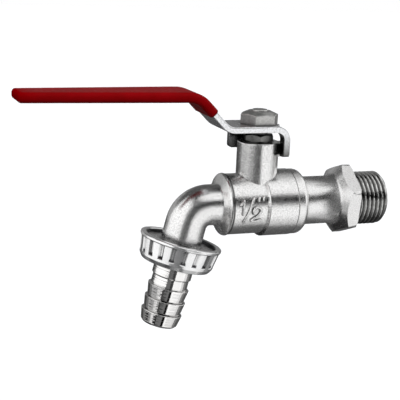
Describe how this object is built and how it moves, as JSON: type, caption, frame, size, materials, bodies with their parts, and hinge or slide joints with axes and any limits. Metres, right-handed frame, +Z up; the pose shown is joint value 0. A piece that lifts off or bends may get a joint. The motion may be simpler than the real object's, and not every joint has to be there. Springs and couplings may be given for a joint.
{
  "type": "garden ball valve tap",
  "caption": "Outdoor ball valve tap with a quarter-turn lever, swan-neck spout, male inlet thread and a barbed hose tail held by a ring nut.",
  "frame": {"origin": "centre of the inlet thread in the plane of the hexagon's outer face, where the thread starts", "axes": "+X along the inlet thread towards the supply, with the spout and the open lever on the -X side; +Z up along the valve stem; +Y to the side the lever swings to when it closes"},
  "size_m": [0.1455, 0.0314, 0.0912],
  "materials": {
    "nickel_plate": "satin nickel plate on brass",
    "zinc_plate": "bright zinc plate on steel",
    "ball_chrome": "polished",
    "seat_white": "smooth white plastic",
    "stem_brass": "turned brass",
    "grip_red": "dipped plastic, slightly glossy",
    "bright_chrome": "polished chrome plate on brass",
    "washer_black": "moulded rubber"
  },
  "bodies": {
    "body": {"valve_body": "nickel_plate", "inlet_tailpiece": "nickel_plate", "seat_outlet": "seat_white", "seat_inlet": "seat_white", "thrust_washer": "seat_white", "packing_lower": "seat_white", "packing_upper": "seat_white", "gland_nut": "zinc_plate"},
    "lever_assembly": {"stem": "stem_brass", "ball": "ball_chrome", "lever": "zinc_plate", "lever_grip": "grip_red", "lever_nut": "zinc_plate"},
    "hose_tail": {"hose_tail": "bright_chrome", "hose_washer": "washer_black"},
    "union_nut": {"union_nut": "bright_chrome"}
  },
  "joints": [
    {"name": "lever_turn", "type": "hinge", "parent": "body", "child": "lever_assembly", "pos_m": [-0.0392, 0, 0], "axis": [0, 0, 1], "range_deg": [-90, 0]},
    {"name": "tail_travel", "type": "slide", "parent": "body", "child": "hose_tail", "axis": [-0.2419, 0, -0.9703], "range_m": [0, 0.00545]},
    {"name": "nut_turn", "type": "hinge", "parent": "hose_tail", "child": "union_nut", "pos_m": [-0.06849, 0, -0.01288], "axis": [-0.2419, 0, -0.9703], "range_deg": [0, 1080]}
  ],
  "couplings": [
    {"joint": "tail_travel", "follows": "nut_turn", "m_per_rad": 0.00028871}
  ]
}
